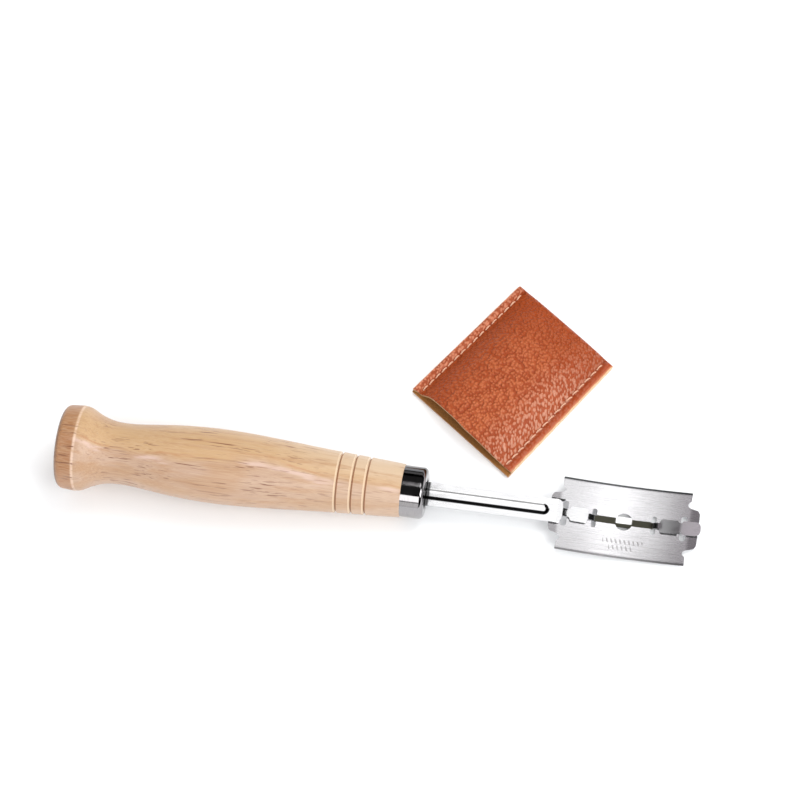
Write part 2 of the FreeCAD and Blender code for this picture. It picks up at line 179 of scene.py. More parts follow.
def hypotenuse(tree, first, second):
    """Length of a vector with two sides."""
    squares = multiply(tree, first, first), multiply(tree, second, second)
    return math_node(tree, "SQRT", math_node(tree, "ADD", *squares))


def mix_colour(tree, factor, first, second):
    """Mix of two colours, each a socket or an RGB triple."""
    node = add(tree, "ShaderNodeMix", data_type="RGBA")
    tree.links.new(factor, node.inputs["Factor"])
    for socket, value in ((node.inputs[6], first), (node.inputs[7], second)):
        if isinstance(value, (tuple, list)):
            socket.default_value = (*value, 1)
        else:
            tree.links.new(value, socket)
    return node.outputs[2]


def bump(tree, height, shader, distance, strength=1.0):
    """Bump from a height socket into the shader's normal."""
    node = add(tree, "ShaderNodeBump")
    node.inputs["Strength"].default_value = strength
    node.inputs["Distance"].default_value = distance
    tree.links.new(height, node.inputs["Height"])
    tree.links.new(node.outputs["Normal"], shader.inputs["Normal"])


def separate(tree, vector):
    """X, Y and Z sockets of a vector."""
    node = add(tree, "ShaderNodeSeparateXYZ")
    tree.links.new(vector, node.inputs[0])
    return node.outputs


# ---------------------------------------------------------------- colours
# linear: the wood
STRAW = (0.520, 0.325, 0.165)
PINKISH_WOOD = (0.475, 0.308, 0.212)
WOOD_PAINTED_SHEEN = (0.660, 0.480, 0.420)
GROWTH_RING = (0.420, 0.180, 0.070)
HEARTWOOD = (0.430, 0.240, 0.120)
PALE_WOOD = (0.640, 0.490, 0.340)
RIM_BROWN = (0.350, 0.150, 0.056)
RIDGE_PAINTED_HIGHLIGHT = (0.860, 0.640, 0.500)
DARK_BUTT_CORNER = (0.090, 0.038, 0.018)
GRAIN_BAND = (0.420, 0.225, 0.110)
PORE_BROWN = (0.185, 0.068, 0.030)
PALE_FIBRE = (0.640, 0.470, 0.320)
GROOVE_PAINTED_SHADE = (0.300, 0.120, 0.055)
GROOVE_PAINTED_HIGHLIGHT = (0.800, 0.640, 0.450)
# the metal and the adhesive
PLATING_DARK = (0.29, 0.278, 0.284)
PLATING_LIGHT = (0.35, 0.336, 0.342)
FERRULE_PAINTED_REFLECTION = (0.070, 0.072, 0.076)
SLOT_PAINTED_SHADE = (0.02, 0.02, 0.02)
STRIP_DARK = (0.68, 0.68, 0.69)
STRIP_LIGHT = (0.78, 0.78, 0.79)
UNDER_BLADE_PAINTED_SHADE = (0.115, 0.112, 0.085)
TIP_PAINTED_REFLECTION = (0.290, 0.290, 0.295)
FLUTE_PAINTED_SHADE = (0.012, 0.012, 0.012)
FLUTE_RIM_PAINTED_SHADE = (0.120, 0.120, 0.120)
ROOT_PAINTED_SHADE = (0.010, 0.010, 0.010)
BLADE_DARK = (0.800, 0.790, 0.810)
BLADE_LIGHT = (0.860, 0.850, 0.870)
GROUND_EDGE = (0.06, 0.06, 0.065)
ETCHED = (0.22, 0.21, 0.21)
SHADED_STEEL = (0.560, 0.545, 0.560)
TAB_PAINTED_SHADE = (0.330, 0.315, 0.330)
SHOULDER_PAINTED_SHADOW = (0.020, 0.020, 0.020)
ADHESIVE_DARK = (0.62, 0.50, 0.28)
ADHESIVE_LIGHT = (0.72, 0.62, 0.40)
# the leather and the thread
LEATHER_DARK = (0.338, 0.066, 0.019)
LEATHER_LIGHT = (0.404, 0.091, 0.029)
VALLEY_PAINTED_SHADE = (0.260, 0.036, 0.008)
CREST_PAINTED_HIGHLIGHT = (0.620, 0.190, 0.080)
RIGHT_PAINTED_HIGHLIGHT = (0.620, 0.365, 0.275)
LEATHER_PAINTED_SHADE = (0.300, 0.046, 0.006)
LEFT_MARGIN_PAINTED_HIGHLIGHT = (0.700, 0.300, 0.190)
SMOOTH_BAND = (0.310, 0.050, 0.012)
EDGE_PAINTED_HIGHLIGHT = (0.600, 0.230, 0.110)
SEAM_PAINTED_SHADE = (0.160, 0.026, 0.008)
NAP_DARK = (0.210, 0.078, 0.013)
NAP_LIGHT = (0.340, 0.145, 0.032)
FIBRE_DARK = (0.600, 0.370, 0.190)
FIBRE_LIGHT = (0.800, 0.600, 0.380)
HANDLED_EDGE = (0.360, 0.180, 0.070)
THREAD_DARK = (0.600, 0.300, 0.180)
THREAD_LIGHT = (0.840, 0.520, 0.370)


# ---------------------------------------------------------------- materials
def wood_pores(tree, along, grain):
    """Mask of dark pores and streaks, sparse on the flare and towards the ferrule."""
    patches = ramp(tree, grain(0.05, 0.30, 1.0), 0.38, 0.58, 0.15, 0.95)
    streaks = ramp(tree, grain(0.065, 1.3, 2.0), 0.66, 0.73, 0.0, 0.7)
    long_pores = ramp(tree, grain(0.085, 1.7, 1.5), 0.62, 0.67)
    short_pores = ramp(tree, grain(0.20, 3.0, 1.0), 0.65, 0.71, 0.0, 0.7)
    pores = math_node(tree, "MAXIMUM", long_pores, short_pores)
    pores = multiply(tree, math_node(tree, "MAXIMUM", pores, streaks), patches)
    flare = multiply(tree, ramp(tree, along, 5.6, 6.4), ramp(tree, along, 9, 17, 1.0, 0.0))
    calm = math_node(tree, "SUBTRACT", 1.0, multiply(tree, flare, 0.75))
    pores = multiply(tree, pores, calm)
    return multiply(tree, pores, ramp(tree, along, 55, 92, 0.95, 0.35))


def wood_halves(tree, across, grain):
    """Colour of a straw half and a pink half, and the wandering value that divides them."""
    boundary = math_node(tree, "MULTIPLY_ADD", grain(0.022, 0.10, 3.0), 14.0, across)
    pink_side = ramp(tree, boundary, 4.2, 7.0, 1.0, 0.0)
    colour = mix_colour(tree, pink_side, STRAW, PINKISH_WOOD)
    # a broken painted highlight, standing for the clear coat's sheen, and a dark ring lie between them
    broken = ramp(tree, grain(0.06, 0.22, 2.0), 0.42, 0.60)
    off_line = distance_from(tree, boundary, 4.4)
    painted_sheen = multiply(tree, ramp(tree, off_line, 0.3, 1.5, 0.75, 0.0), broken)
    colour = mix_colour(tree, painted_sheen, colour, WOOD_PAINTED_SHEEN)
    off_ring = distance_from(tree, boundary, 6.4)
    ring = multiply(tree, ramp(tree, off_ring, 0.05, 0.55, 0.6, 0.0), broken)
    return mix_colour(tree, ring, colour, GROWTH_RING), boundary


def mark_butt(tree, along, radius, colour):
    """The butt's brown rim, a painted highlight along the ridge behind it, and its darkened outer corner."""
    rim = ramp(tree, along, RIM_END_MM - 0.7, RIM_END_MM, 0.85, 0.0)
    colour = mix_colour(tree, rim, colour, RIM_BROWN)
    # painted highlight along the ridge
    ridge = ramp(tree, distance_from(tree, along, RIDGE_MM), 0.15, 0.55, 0.45, 0.0)
    colour = mix_colour(tree, ridge, colour, RIDGE_PAINTED_HIGHLIGHT)
    # darker at the butt's outer corner
    corner = multiply(tree, ramp(tree, along, 0.3, 1.3, 0.75, 0.0), ramp(tree, radius, 10.6, 11.4))
    return mix_colour(tree, corner, colour, DARK_BUTT_CORNER)


def mark_grooves(tree, along, colour):
    """Each turned groove with a painted highlight on the wall facing the ferrule and painted shade on the wall
    facing the butt.
    """
    for station in GROOVES_MM:
        off = math_node(tree, "SUBTRACT", along, station)
        far_wall_shade = multiply(tree, ramp(tree, off, -0.12, 0.05), ramp(tree, off, 0.40, 0.60, 0.8, 0.0))
        colour = mix_colour(tree, far_wall_shade, colour, GROOVE_PAINTED_SHADE)
        near_wall_highlight = multiply(tree, ramp(tree, off, -0.65, -0.45), ramp(tree, off, -0.15, 0.0, 0.8, 0.0))
        colour = mix_colour(tree, near_wall_highlight, colour, GROOVE_PAINTED_HIGHLIGHT)
    return colour


def wood_material():
    """Pale straight-grained wood under a satin clear coat, with short dark pores."""
    material, tree, shader = new_material("pale_wood")
    along, across, height = separate(tree, local_coordinates(tree, lame_frame))

    def grain(along_scale, across_scale, detail, roughness=0.5):
        scale = (along_scale, across_scale, across_scale)
        return noise_value(tree, local_coordinates(tree, lame_frame, scale), 1.0, detail, roughness)

    colour, boundary = wood_halves(tree, across, grain)
    heart = ramp(tree, grain(0.035, 0.16, 2.0), 0.46, 0.64, 0.0, 0.65)
    colour = mix_colour(tree, heart, colour, HEARTWOOD)
    # paler wood towards the ferrule; its fading towards the lower side is painted shade
    pale_end_and_lower_shade = multiply(tree, ramp(tree, along, 45, 100),
                        ramp(tree, boundary, 5.5, 12.0, 0.16, 0.80))
    colour = mix_colour(tree, pale_end_and_lower_shade, colour, PALE_WOOD)
    colour = mark_butt(tree, along, hypotenuse(tree, across, height), colour)
    bands = ramp(tree, grain(0.022, 0.75, 4.0, 0.6), 0.48, 0.68, 0.0, 0.55)
    colour = mix_colour(tree, bands, colour, GRAIN_BAND)
    pores = wood_pores(tree, along, grain)
    colour = mix_colour(tree, pores, colour, PORE_BROWN)
    fibres = grain(0.06, 5.5, 2.0)
    pale_fibres = ramp(tree, fibres, 0.42, 0.66, 0.0, 0.28)
    colour = mix_colour(tree, pale_fibres, colour, PALE_FIBRE)
    colour = mark_grooves(tree, along, colour)
    tree.links.new(colour, shader.inputs["Base Color"])
    tree.links.new(ramp(tree, fibres, 0.3, 0.7, 0.42, 0.55), shader.inputs["Roughness"])
    relief = math_node(tree, "SUBTRACT", multiply(tree, fibres, 0.3), pores)
    bump(tree, relief, shader, 0.05 * MM, 0.6)
    shader.inputs["Coat Weight"].default_value = 0.3
    shader.inputs["Coat Roughness"].default_value = 0.25
    return material


def slot_mask(tree, along, across, height):
    """1 in the slot punched through the ferrule's face."""
    in_width = ramp(tree, math_node(tree, "ABSOLUTE", across),
                    SLOT_HALF_WIDTH_MM, SLOT_HALF_WIDTH_MM + 0.3, 1.0, 0.0)
    in_height = ramp(tree, math_node(tree, "ABSOLUTE", height),
                     SLOT_HALF_HEIGHT_MM, SLOT_HALF_HEIGHT_MM + 0.25, 1.0, 0.0)
    slot = multiply(tree, in_width, in_height)
    return multiply(tree, slot, ramp(tree, along, FERRULE_FACE_MM - 0.4, FERRULE_FACE_MM))


def chrome_material():
    """Nickel-bright plating with hairlines round the axis, a painted dark reflection on its upper far side, and a
    rough punched slot with painted shade in it.
    """
    material, tree, shader = new_material("ferrule_plating")
    along, across, height = separate(tree, local_coordinates(tree, lame_frame))
    turned = noise_value(tree, local_coordinates(tree, lame_frame, (9.0, 0.3, 0.3)), 1.0, 3.0)
    colour = mix_colour(tree, ramp(tree, turned, 0.3, 0.7), PLATING_DARK, PLATING_LIGHT)
    # painted dark reflection on the upper far side of the ferrule
    dark_reflection = multiply(tree, ramp(tree, across, 3.2, 4.8, 0.0, 0.8), ramp(tree, height, 1.4, 2.6))
    colour = mix_colour(tree, dark_reflection, colour, FERRULE_PAINTED_REFLECTION)
    haze = noise_value(tree, local_coordinates(tree, lame_frame, (0.4, 0.4, 0.4)), 1.0, 3.0)
    rough = ramp(tree, haze, 0.3, 0.7, 0.06, 0.13)
    slot = slot_mask(tree, along, across, height)
    # the slot is painted dark as shade
    tree.links.new(mix_colour(tree, slot, colour, SLOT_PAINTED_SHADE), shader.inputs["Base Color"])
    tree.links.new(math_node(tree, "MAXIMUM", rough, multiply(tree, slot, 0.6)),
                   shader.inputs["Roughness"])
    shader.inputs["Metallic"].default_value = 1.0
    bump(tree, turned, shader, 0.004 * MM, 0.3)
    return material


def mark_flute(tree, along, across, colour):
    """Near-black painted shade along the lower side of the pressed flute, and dim painted shade along its upper
    side.
    """
    beyond = math_node(tree, "MAXIMUM", math_node(tree, "SUBTRACT", along, FLUTE_END_MM), 0.0)
    off_flute = hypotenuse(tree, beyond, across)
    line = multiply(tree, ramp(tree, off_flute, 0.50, 0.62),
                    ramp(tree, off_flute, 1.70, 1.85, 1.0, 0.0))
    lower = multiply(tree, line, ramp(tree, across, 0.0, 0.6, 0.97, 0.0))
    colour = mix_colour(tree, lower, colour, FLUTE_PAINTED_SHADE)
    rim = multiply(tree, ramp(tree, off_flute, 0.60, 1.20),
                   ramp(tree, off_flute, 1.45, 1.55, 1.0, 0.0))
    upper_rim = multiply(tree, rim, ramp(tree, across, 0.5, 0.9))
    return mix_colour(tree, upper_rim, colour, FLUTE_RIM_PAINTED_SHADE)


def strip_material():
    """Bright stamped steel, finely scratched, with painted shade under the blade, in the flute and where the neck
    leaves the ferrule, and a painted dim reflection towards the tip.
    """
    material, tree, shader = new_material("holder_steel")
    along, across, _ = separate(tree, local_coordinates(tree, lame_frame))
    shader.inputs["Metallic"].default_value = 1.0
    grain = noise_value(tree, local_coordinates(tree, lame_frame, (0.25, 9.0, 9.0)), 1.0, 3.0)
    colour = mix_colour(tree, ramp(tree, grain, 0.3, 0.7), STRIP_DARK, STRIP_LIGHT)
    # painted shade on the strip under the blade, but not in the upper half of the centre hole
    from_blade = distance_from(tree, along, BLADE_CENTRE_MM)
    covered = ramp(tree, from_blade, 8.2, 8.9, 1.0, 0.0)
    in_hole = ramp(tree, from_blade, 2.0, 2.6, 1.0, 0.0)
    upper = ramp(tree, across, -0.7, -0.3)
    unshaded = math_node(tree, "SUBTRACT", 1.0, multiply(tree, in_hole, upper))
    under_blade_shade = multiply(tree, covered, unshaded)
    colour = mix_colour(tree, under_blade_shade, colour, UNDER_BLADE_PAINTED_SHADE)
    # painted dim reflection on a stretch of the strip towards the tip
    dim_reflection = multiply(tree, ramp(tree, along, DIM_REFLECTION_START_MM, DIM_REFLECTION_START_MM + 0.6),
                    ramp(tree, along, DIM_REFLECTION_END_MM - 1.2, DIM_REFLECTION_END_MM, 1.0, 0.0))
    colour = mix_colour(tree, dim_reflection, colour, TIP_PAINTED_REFLECTION)
    colour = mark_flute(tree, along, across, colour)
    # painted shade where the neck leaves the ferrule
    root = ramp(tree, along, NECK_ROOT_MM, NECK_ROOT_MM + 0.6, 0.93, 0.0)
    colour = mix_colour(tree, root, colour, ROOT_PAINTED_SHADE)
    tree.links.new(colour, shader.inputs["Base Color"])
    smears = noise_value(tree, local_coordinates(tree, lame_frame, (0.2, 0.5, 0.5)), 1.0, 2.0)
    rough = ramp(tree, smears, 0.3, 0.7, 0.03, 0.08)
    beyond_neck = ramp(tree, along, NECK_END_MM, NECK_END_MM + 2.0, 0.0, 0.08)
    rough = math_node(tree, "ADD", rough, beyond_neck)
    tree.links.new(math_node(tree, "MULTIPLY_ADD", under_blade_shade, 0.3, rough), shader.inputs["Roughness"])
    bump(tree, grain, shader, 0.002 * MM, 0.3)
    return material


def blade_material():
    """Razor steel brushed along the blade, with dark ground edges and two rows of etched ticks."""
    material, tree, shader = new_material("blade_steel")
    shader.inputs["Metallic"].default_value = 1.0
    along, across, _ = separate(tree, local_coordinates(tree, blade_frame))
    lines = local_coordinates(tree, blade_frame, (0.12, 5.0, 1.0))
    brushed = noise_value(tree, lines, 1.0, 4.0, 0.7)
    colour = mix_colour(tree, ramp(tree, brushed, 0.3, 0.7), BLADE_DARK, BLADE_LIGHT)
    off_axis = math_node(tree, "ABSOLUTE", across)
    ground = ramp(tree, off_axis, EDGE_START_MM, EDGE_START_MM + 0.2, 0.0, 0.92)
    colour = mix_colour(tree, ground, colour, GROUND_EDGE)
    colour = mix_colour(tree, etched_ticks(tree, along, across), colour, ETCHED)
    low_half = ramp(tree, across, -8.5, 0.5, 0.40, 0.0)
    colour = mix_colour(tree, low_half, colour, SHADED_STEEL)
    from_middle = math_node(tree, "ABSOLUTE", along)
    # painted shade on the blade's end tabs
    tabs = ramp(tree, from_middle, TAB_START_MM, TAB_START_MM + 1.2, 0.0, 0.75)
    colour = mix_colour(tree, tabs, colour, TAB_PAINTED_SHADE)
    # painted shadow on the blade along the holder's shoulder
    off_shoulder = distance_from(tree, across, SHOULDER_MM)
    shoulder_shadow = multiply(tree, ramp(tree, off_shoulder, 0.30, 0.50, 0.93, 0.0),
                   ramp(tree, along, SHOULDER_END_MM - 0.4, SHOULDER_END_MM, 1.0, 0.0))
    colour = mix_colour(tree, shoulder_shadow, colour, SHOULDER_PAINTED_SHADOW)
    tree.links.new(colour, shader.inputs["Base Color"])
    tree.links.new(ramp(tree, brushed, 0.3, 0.7, 0.22, 0.30), shader.inputs["Roughness"])
    shader.inputs["Anisotropic"].default_value = 0.5
    spread_dir = add(tree, "ShaderNodeCombineXYZ")
    spread_dir.inputs["Y"].default_value = 1.0
    tree.links.new(spread_dir.outputs[0], shader.inputs["Tangent"])
    bump(tree, brushed, shader, 0.002 * MM, 0.3)
    return material


def etched_ticks(tree, along, across):
    """Mask of two short rows of slanted strokes, with no lettering in them."""
    slanted = math_node(tree, "MULTIPLY_ADD", across, TICK_SLANT, along)
    beat = math_node(tree, "FRACT", multiply(tree, slanted, TICKS_PER_MM))
    stroke = math_node(tree, "LESS_THAN", beat, TICK_SHARE)
    rows = 0.0
    for middle, half_length, place in TICK_ROWS_MM:
        offset = distance_from(tree, along, middle)
        in_length = math_node(tree, "LESS_THAN", offset, half_length)
        lift = distance_from(tree, across, place)
        in_row = math_node(tree, "LESS_THAN", lift, TICK_HALF_HEIGHT_MM)
        row = multiply(tree, stroke, multiply(tree, in_length, in_row))
        rows = math_node(tree, "MAXIMUM", rows, row)
    return multiply(tree, rows, TICK_STRENGTH)


def adhesive_material():
    """Cured amber adhesive, hidden in the bore."""
    material, tree, shader = new_material("cured_adhesive")
    mottle = noise_value(tree, local_coordinates(tree, lame_frame), 1.0, 3.0)
    colour = mix_colour(tree, ramp(tree, mottle, 0.3, 0.7), ADHESIVE_DARK, ADHESIVE_LIGHT)
    tree.links.new(colour, shader.inputs["Base Color"])
    tree.links.new(ramp(tree, mottle, 0.3, 0.7, 0.35, 0.5), shader.inputs["Roughness"])
    return material


def edge_inset(tree, across, depth):
    """Distance in millimetres from the nearer side edge of the cover."""
    taper = (FOLD_HALF_MM - MOUTH_HALF_MM) / DEPTH_MM
    from_middle = multiply(tree, depth, taper)
    half = math_node(tree, "ADD", from_middle, (MOUTH_HALF_MM + FOLD_HALF_MM) / 2)
    return math_node(tree, "SUBTRACT", half, math_node(tree, "ABSOLUTE", across))


def pebbles(tree, vector, scale, distortion):
    """Rounded pebbles of uneven size, unrolled over the fold: 1 on each crest, 0 in the valleys."""
    across, depth, height = separate(tree, vector)
    unrolled = add(tree, "ShaderNodeCombineXYZ")
    tree.links.new(across, unrolled.inputs["X"])
    tree.links.new(math_node(tree, "SUBTRACT", depth, height), unrolled.inputs["Y"])
    drift = add(tree, "ShaderNodeTexNoise")
    drift.inputs["Scale"].default_value = 0.6
    drift.inputs["Detail"].default_value = 1.0
    tree.links.new(vector, drift.inputs["Vector"])
    shifted = add(tree, "ShaderNodeVectorMath", operation="MULTIPLY_ADD")
    tree.links.new(drift.outputs["Color"], shifted.inputs[0])
    shifted.inputs[1].default_value = (distortion,) * 3
    tree.links.new(unrolled.outputs[0], shifted.inputs[2])
    cells = add(tree, "ShaderNodeTexVoronoi", voronoi_dimensions="2D", feature="SMOOTH_F1")
    cells.inputs["Scale"].default_value = scale
    cells.inputs["Smoothness"].default_value = 0.35
    tree.links.new(shifted.outputs[0], cells.inputs["Vector"])
    return ramp(tree, cells.outputs["Distance"], 0.08, 0.72, 1.0, 0.0)


def pebbled_colour(tree, place, pebble):
    """Mottled red-brown, with painted shade in the valleys between the pebbles and a painted highlight on their
    crests.
    """
    mottle = noise_value(tree, place, 0.16, 4.0, 0.6)
    colour = mix_colour(tree, ramp(tree, mottle, 0.35, 0.65), LEATHER_DARK, LEATHER_LIGHT)
    colour = mix_colour(tree, ramp(tree, pebble, 0.15, 0.75, 0.50, 0.0), colour, VALLEY_PAINTED_SHADE)
    return mix_colour(tree, ramp(tree, pebble, 0.45, 1.30, 0.0, 0.38), colour, CREST_PAINTED_HIGHLIGHT)


def mark_panel_painted_light(tree, across, depth, pebble, colour):
    """Painted highlight to the right, and painted shade to the left and towards the fold."""
    # painted highlight on the pebbles towards the right seam
    right_highlight = multiply(tree, ramp(tree, across, 4.0, 15.5), ramp(tree, pebble, 0.35, 1.25))
    colour = mix_colour(tree, multiply(tree, right_highlight, 0.50), colour, RIGHT_PAINTED_HIGHLIGHT)
    # painted shade towards the left seam
    left_shade = multiply(tree, ramp(tree, across, -17.2, -16.4),
                         ramp(tree, across, -15.0, 0.0, 0.75, 0.0))
    colour = mix_colour(tree, left_shade, colour, LEATHER_PAINTED_SHADE)
    # painted shade towards the fold
    return mix_colour(tree, ramp(tree, depth, 4.0, 20.0, 0.0, 0.62), colour, LEATHER_PAINTED_SHADE)


def mark_margins(tree, across, inset, pebble, colour):
    """Margins outside the seams, with a painted highlight on the left margin and along the side edges and painted
    shade along the pressed seam lines; returns the smooth band's mask too.
    """
    in_margin = ramp(tree, inset, 1.9, 2.3, 1.0, 0.0)
    # painted highlight on the left margin
    left_margin_highlight = multiply(tree, in_margin, ramp(tree, across, -0.5, 0.5, 0.55, 0.0))
    left_margin_highlight = multiply(tree, left_margin_highlight, ramp(tree, pebble, 0.3, 1.3, 0.1, 0.9))
    colour = mix_colour(tree, left_margin_highlight, colour, LEFT_MARGIN_PAINTED_HIGHLIGHT)
    band = multiply(tree, in_margin, ramp(tree, across, -0.5, 0.5))
    colour = mix_colour(tree, multiply(tree, band, 0.8), colour, SMOOTH_BAND)
    # painted highlight along the side edges
    colour = mix_colour(tree, ramp(tree, inset, 0.1, 0.6, 0.55, 0.0), colour, EDGE_PAINTED_HIGHLIGHT)
    # painted shade along the seam line
    seam_line = distance_from(tree, inset, SEAM_INSET_MM)
    pressed = ramp(tree, seam_line, 0.15, 0.75, 0.30, 0.0)
    return mix_colour(tree, pressed, colour, SEAM_PAINTED_SHADE), band


def leather_material():
    """Red-brown pebbled leather, with painted shade at the left and towards the fold and a painted highlight at
    the right.
    """
    material, tree, shader = new_material("pebbled_leather")
    place = local_coordinates(tree, cover_frame)
    across, depth, _ = separate(tree, place)
    inset = edge_inset(tree, across, depth)
    lumps = ramp(tree, noise_value(tree, place, 0.60, 1.0, 0.5), 0.36, 0.64)
    pebble = math_node(tree, "MULTIPLY_ADD", lumps, 0.50, pebbles(tree, place, 1.05, 0.7))
    colour = pebbled_colour(tree, place, pebble)
    colour = mark_panel_painted_light(tree, across, depth, pebble, colour)
    colour, band = mark_margins(tree, across, inset, pebble, colour)
    tree.links.new(colour, shader.inputs["Base Color"])
    fine = noise_value(tree, place, 3.5, 4.0, 0.6)
    tree.links.new(ramp(tree, fine, 0.3, 0.7, 0.34, 0.46), shader.inputs["Roughness"])
    relief = math_node(tree, "MULTIPLY_ADD", fine, 0.15, pebble)
    relief = multiply(tree, relief, ramp(tree, band, 0.0, 1.0, 1.0, 0.35))
    bump(tree, relief, shader, 0.30 * MM)
    shader.inputs["Specular IOR Level"].default_value = 0.24
    return material


def suede_material():
    """Napped inner face of the leather."""
    material, tree, shader = new_material("leather_inner_face")
    place = local_coordinates(tree, cover_frame)
    nap = noise_value(tree, place, 2.2, 5.0, 0.7)
    colour = mix_colour(tree, ramp(tree, nap, 0.3, 0.7), NAP_DARK, NAP_LIGHT)
    tree.links.new(colour, shader.inputs["Base Color"])
    tree.links.new(ramp(tree, nap, 0.3, 0.7, 0.85, 0.97), shader.inputs["Roughness"])
    bump(tree, nap, shader, 0.12 * MM, 0.8)
    return material


def raw_edge_material():
    """Undyed fibres on the cut edges, stained by handling at the mouth."""
    material, tree, shader = new_material("leather_cut_edge")
    _, depth, _ = separate(tree, local_coordinates(tree, cover_frame))
    fibres = noise_value(tree, local_coordinates(tree, cover_frame, (2.0, 2.0, 7.0)), 1.0, 4.0, 0.7)
    colour = mix_colour(tree, ramp(tree, fibres, 0.3, 0.7), FIBRE_DARK, FIBRE_LIGHT)
    stained = ramp(tree, depth, -21.5, -20.0, 0.75, 0.0)
    colour = mix_colour(tree, stained, colour, HANDLED_EDGE)
    tree.links.new(colour, shader.inputs["Base Color"])
    tree.links.new(ramp(tree, fibres, 0.3, 0.7, 0.75, 0.92), shader.inputs["Roughness"])
    bump(tree, fibres, shader, 0.08 * MM, 0.7)
    return material


def thread_material():
    """Beige two-ply sewing thread with fine fibres."""
    material, tree, shader = new_material("beige_thread")
    fibres = noise_value(tree, local_coordinates(tree, cover_frame, (6.0, 6.0, 6.0)), 1.0, 3.0, 0.7)
    colour = mix_colour(tree, ramp(tree, fibres, 0.3, 0.7), THREAD_DARK, THREAD_LIGHT)
    tree.links.new(colour, shader.inputs["Base Color"])
    tree.links.new(ramp(tree, fibres, 0.3, 0.7, 0.55, 0.75), shader.inputs["Roughness"])
    bump(tree, fibres, shader, 0.03 * MM, 0.6)
    return material


def set_material(obj, material):
    """Give an object one material."""
    obj.data.materials.clear()
    obj.data.materials.append(material)


# ---------------------------------------------------------------- leather cover
DEPTH_MM = 45.3
MOUTH_HALF_MM = 19.7
FOLD_HALF_MM = 18.9
LEATHER_MM = 1.4
POCKET_MARGIN_MM = 3.4
CROWN_MM = 4.4
CROWN_POWER = 3.4
CROWN_AT_FOLD_MM = 1.5
CROWN_FALL_START_MM = 22.0
FOLD_START_MM = 43.7
POCKET_END_MM = 42.0
POCKET_END_ROUND_MM = 0.7
EDGE_ROUND_MM = 0.35
SEAM_INSET_MM = 2.5
SEAM_GROOVE_MM = 0.34
SEAM_GAP_MM = 0.02
STITCH_PITCH_MM = 2.6
STITCH_COUNT = 16
FIRST_HOLE_MM = (DEPTH_MM - STITCH_PITCH_MM * STITCH_COUNT) / 2
HOLE_REACH_MM = 0.42
UNDER_CREASE_MM = 0.38
UNDER_CREASE_WIDTH_MM = 0.40
# swellings and hollows beside each seam: (inset, width, height, only at the holes)
MARGIN_RELIEF_MM = (
    (SEAM_INSET_MM, 0.42, -SEAM_GROOVE_MM, False), (SEAM_INSET_MM, 0.38, -0.22, True),
    (1.1, 0.75, 0.16, False), (3.6, 0.8, -0.14, True),
)
# the right margin is stepped down and pressed thin
RIGHT_STEP_MM, RIGHT_STEP_INSET_MM, RIGHT_STEP_WIDTH_MM = 0.30, 1.95, 0.35
RIGHT_PRESS_MM, RIGHT_PRESS_WIDTH_MM = 0.40, 2.2
WAVE_MM = 0.16
DENT_MM = 0.08
RAGGED_MM = 0.09
# how far the front lip stands back: (share of the half width, distance)
LIP_RECESS_MM = ((-1.0, 0.40), (-0.9, 0.75), (-0.64, 1.55), (-0.25, 1.40),
                 (0.17, 1.00), (0.59, 0.95), (0.87, 1.25), (1.0, 1.35))
LIP_EASE_MM = 7.0
PANEL_INSET_MM = 4.4
PANEL_COLUMNS = 84
ROW_STEP_MM = 0.3
FOLD_STEPS = 12
GRAIN, SUEDE, RAW_EDGE = 0, 1, 2


def cover_half(depth):
    """Half width of the cover at a distance from its mouth."""
    return MOUTH_HALF_MM + (FOLD_HALF_MM - MOUTH_HALF_MM) * depth / DEPTH_MM


def cover_point(across, depth, height):
    """World point from cover millimetres, with depth measured from the mouth."""
    return cover_frame @ (Vector((across, depth - DEPTH_MM / 2, height)) * MM)


def wander(seed, x, y=0.0):
    """Smooth noise between -1 and 1."""
    return noise.noise(Vector((x, y, seed)))


def smooth_step(value):
    """Smooth ramp from 0 to 1."""
    value = min(max(value, 0.0), 1.0)
    return value * value * (3 - 2 * value)


def bell(value, width):
    """1 at zero, falling smoothly over the width."""
    return math.exp(-(value / width) ** 2)


def edge_drop(inset):
    """Rounding of the grain side at a cut edge."""
    if inset >= EDGE_ROUND_MM:
        return 0.0
    reach = 1 - max(inset, 0.0) / EDGE_ROUND_MM
    return EDGE_ROUND_MM * (1 - math.sqrt(1 - reach * reach))


def hole_nearness(depth):
    """1 at a stitch hole and 0 between holes."""
    step = (depth - FIRST_HOLE_MM) / STITCH_PITCH_MM
    if step < -0.3 or step > STITCH_COUNT + 0.3:
        return 0.0
    return bell((step - round(step)) * STITCH_PITCH_MM, HOLE_REACH_MM)


def crown(across, depth):
    """Height that the pocket's front wall stands above its seams."""
    fall = max(0.0, depth - CROWN_FALL_START_MM) / (FOLD_START_MM - CROWN_FALL_START_MM)
    height = CROWN_MM - (CROWN_MM - CROWN_AT_FOLD_MM) * fall ** 3
    reach = abs(across) / (cover_half(depth) - POCKET_MARGIN_MM)
    return height * (1 - reach ** CROWN_POWER) if reach < 1 else 0.0


def front_height(across, depth):
    """Height of the grain side of the front wall."""
    inset = cover_half(depth) - abs(across)
    rise = crown(across, depth)
    height = 2 * LEATHER_MM + rise
    for place, width, swell, at_holes in MARGIN_RELIEF_MM:
        strength = hole_nearness(depth) if at_holes else 1.0
        height += swell * bell(inset - place, width) * strength
    if across > 0:
        step = RIGHT_STEP_MM * bell(inset - RIGHT_STEP_INSET_MM, RIGHT_STEP_WIDTH_MM)
        height -= step + RIGHT_PRESS_MM * max(0.0, 1 - inset / RIGHT_PRESS_WIDTH_MM)
    height += WAVE_MM * min(1.0, rise / 2) * wander(3.0, across * 0.11, depth * 0.11)
    height -= DENT_MM * max(0.0, wander(8.0, across * 0.35, depth * 0.35))
    return height


